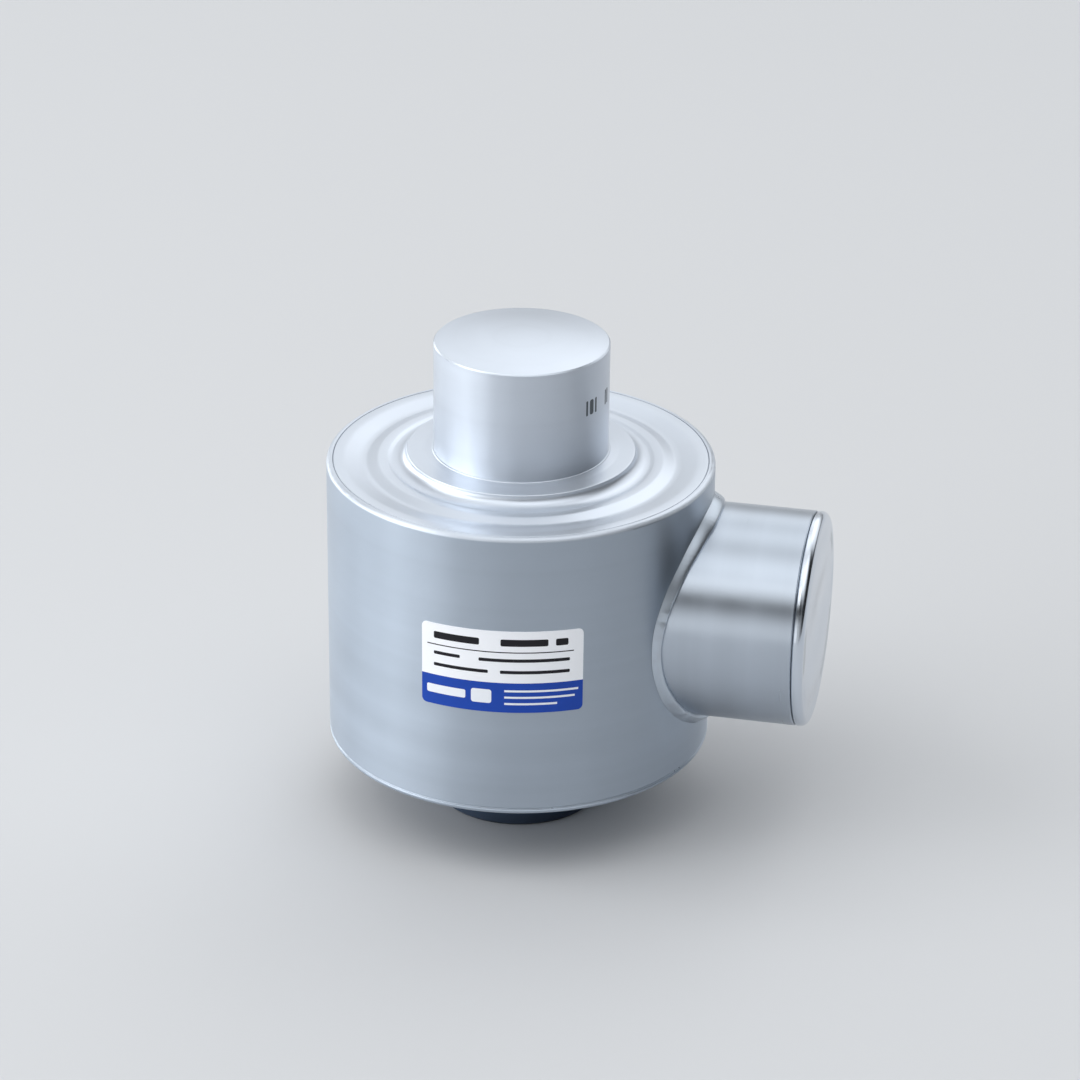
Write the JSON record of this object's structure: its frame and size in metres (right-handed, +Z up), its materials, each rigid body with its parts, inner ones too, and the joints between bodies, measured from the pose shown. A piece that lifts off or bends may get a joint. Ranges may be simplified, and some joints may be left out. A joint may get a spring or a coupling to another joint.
{
  "type": "compression load cell",
  "caption": "Upright steel load cell: domed load button on a round foot, sealed cylindrical casing with a corrugated top cover, and a welded side housing with a cable gland.",
  "frame": {"origin": "centre of the foot's lower face", "axes": "+Z up along the load axis towards the load button, +X along the side housing's axis away from the casing, +Y towards the cable gland"},
  "size_m": [0.1145, 0.0891, 0.1156],
  "materials": {
    "steel": "satin, fine turned",
    "dark_steel": "dark, ground",
    "label": "printed film",
    "gauge_film": "clear amber film",
    "tinned": "tinned",
    "red_wire": "enamelled",
    "blue_wire": "enamelled",
    "board": "coated board",
    "resistor": "coated",
    "glass": "sealing glass",
    "rubber": "matt"
  },
  "bodies": {
    "root": {"column": "steel", "foot": "dark_steel", "casing": "steel", "top_cover": "steel", "base_plate": "steel", "side_housing": "steel", "end_cap": "steel", "housing_weld": "steel", "label": "label", "gauge_right": "gauge_film", "gauge_rear": "gauge_film", "gauge_left": "gauge_film", "gauge_front": "gauge_film", "gauge_terminals": "tinned", "gauge_leads": "red_wire", "bridge_board": "board", "board_spacers": "tinned", "board_screws": "tinned", "trim_resistors": "resistor", "bridge_leads": "blue_wire", "feedthrough_shell": "tinned", "feedthrough_glass": "glass", "feedthrough_pins": "tinned", "terminal_board": "board", "cable_terminals": "tinned", "gland_washer": "rubber", "gland_body": "steel", "gland_grommet": "rubber", "gland_nut": "steel"}
  },
  "joints": []
}
